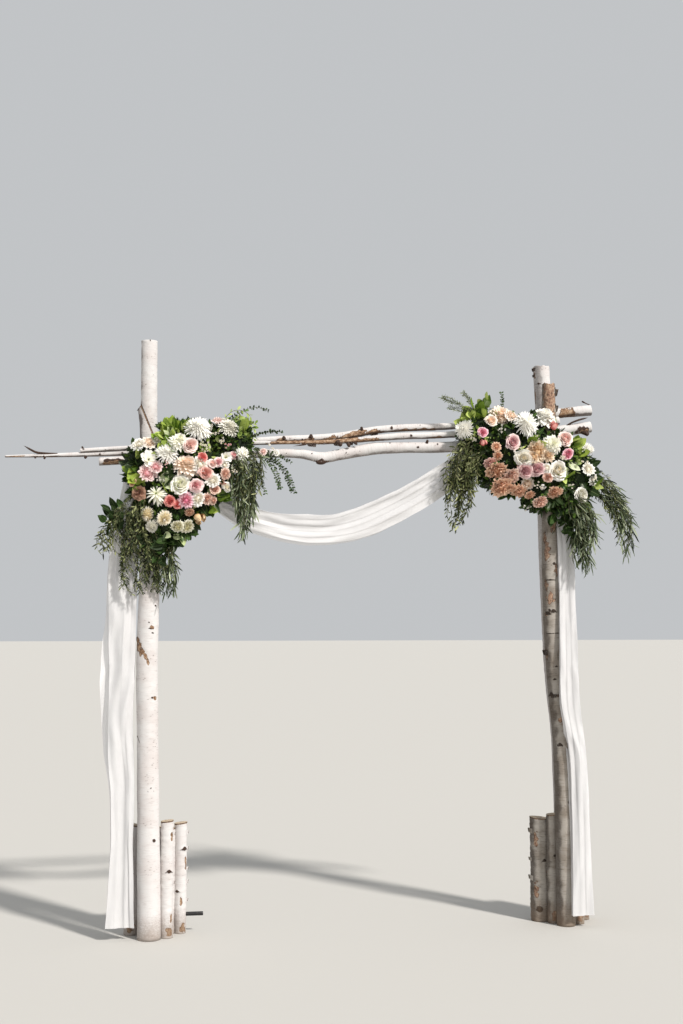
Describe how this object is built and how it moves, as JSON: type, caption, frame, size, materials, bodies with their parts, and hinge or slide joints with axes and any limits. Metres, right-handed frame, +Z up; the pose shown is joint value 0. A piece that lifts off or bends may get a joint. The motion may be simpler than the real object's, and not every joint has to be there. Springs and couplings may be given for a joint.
{
  "type": "floral wedding archway",
  "caption": "Free-standing rustic archway of birch logs with crossing beams, a chiffon swag and side drapes, and flower clusters at both corners.",
  "frame": {"origin": "middle of the base of the outer box, on the ground between the posts", "axes": "+X along the beams to the right-hand posts as seen from the front, -Y to the front where the flowers face, +Z up"},
  "size_m": [3.0842, 0.3204, 2.8652],
  "materials": {
    "white_birch_bark": "matte peeling bark",
    "grey_birch_bark": "matte weathered bark",
    "chiffon": "sheer matte",
    "foliage": "waxy leaves",
    "sage_foliage": "dusty leaves",
    "white_petals": "soft petals",
    "pink_petals": "soft petals",
    "peach_petals": "soft petals",
    "black_steel": "satin black"
  },
  "bodies": {
    "root": {"left_back_post": "white_birch_bark", "left_front_post": "white_birch_bark", "right_back_post": "grey_birch_bark", "right_front_post": "grey_birch_bark", "lower_beam": "white_birch_bark", "top_beam": "white_birch_bark", "middle_beam": "white_birch_bark", "left_foot_log_1": "white_birch_bark", "left_foot_log_2": "white_birch_bark", "left_foot_log_3": "white_birch_bark", "left_foot_log_4": "white_birch_bark", "right_foot_log_1": "white_birch_bark", "right_foot_log_2": "white_birch_bark", "right_foot_log_3": "white_birch_bark", "right_foot_log_4": "white_birch_bark", "left_foot_bar": "black_steel", "swag": "chiffon", "left_drape": "chiffon", "right_drape": "chiffon", "left_cluster_core": "foliage", "right_cluster_core": "foliage", "left_outer_trail": "sage_foliage", "left_lower_trail": "sage_foliage", "left_beam_trail": "sage_foliage", "left_upper_spray": "sage_foliage", "left_lower_spray": "sage_foliage", "right_inner_trail": "sage_foliage", "right_outer_trail": "sage_foliage", "right_lower_trail": "sage_foliage", "right_upper_spray": "sage_foliage", "left_spider_mum": "white_petals", "left_upper_mum": "white_petals", "left_middle_mum": "white_petals", "left_lower_mum": "white_petals", "left_dahlia": "peach_petals", "left_white_rose": "white_petals", "left_cream_rose": "white_petals", "left_pink_rose": "pink_petals", "right_spider_mum": "white_petals", "right_white_lily": "white_petals", "right_middle_mum": "white_petals", "right_ruffled_rose": "peach_petals", "right_white_rose": "white_petals", "right_mauve_rose": "pink_petals", "right_peach_dahlia": "peach_petals", "right_peach_rose": "peach_petals"}
  },
  "joints": []
}
